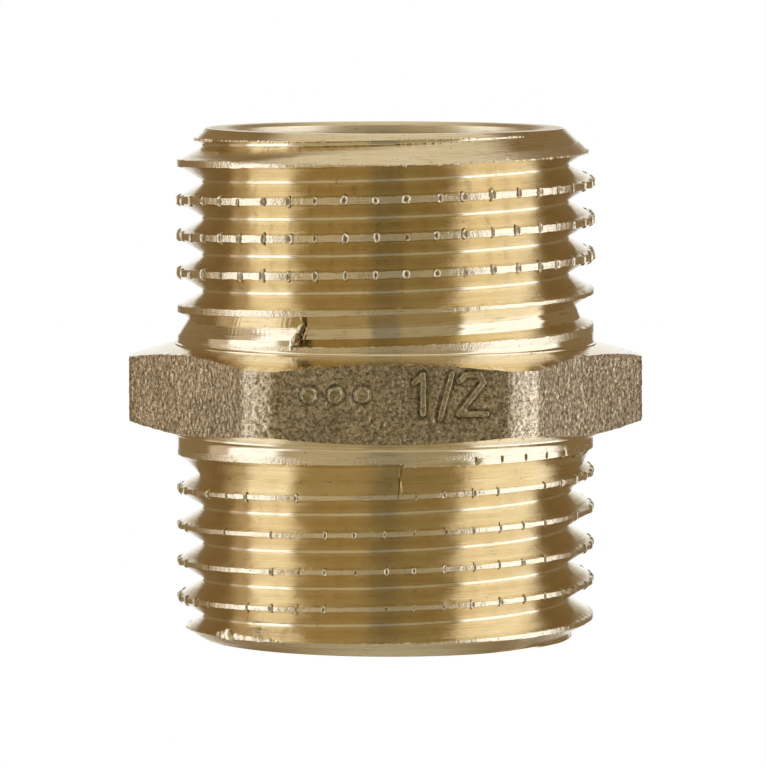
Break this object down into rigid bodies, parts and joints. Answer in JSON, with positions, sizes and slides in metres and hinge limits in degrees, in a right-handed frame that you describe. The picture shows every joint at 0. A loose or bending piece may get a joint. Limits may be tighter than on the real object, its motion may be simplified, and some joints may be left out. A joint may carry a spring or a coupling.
{
  "type": "hex nipple",
  "caption": "Short brass pipe connector with parallel male pipe threads at both ends, a wrench hexagon between them and a plain through bore.",
  "frame": {"origin": "on the bore axis, halfway up the hexagon", "axes": "+Z along the bore towards the upper end, +Y square to the plain rear flat of the hexagon, -Y out of the marked flat, X through two corners of the hexagon"},
  "size_m": [0.0258, 0.0232, 0.0256],
  "materials": {
    "turned_brass": "bright turned, fine circumferential tool lines",
    "thread_brass": "bright die-cut, fine helical tool lines",
    "blasted_brass": "as forged and shot blasted, fine matt grain"
  },
  "bodies": {
    "root": {"barrel": "turned_brass", "hex_collar": "blasted_brass", "upper_land_ring": "turned_brass", "lower_land_ring": "turned_brass", "upper_thread": "thread_brass", "lower_thread": "thread_brass", "size_mark": "blasted_brass", "dot_mark": "blasted_brass"}
  },
  "joints": []
}
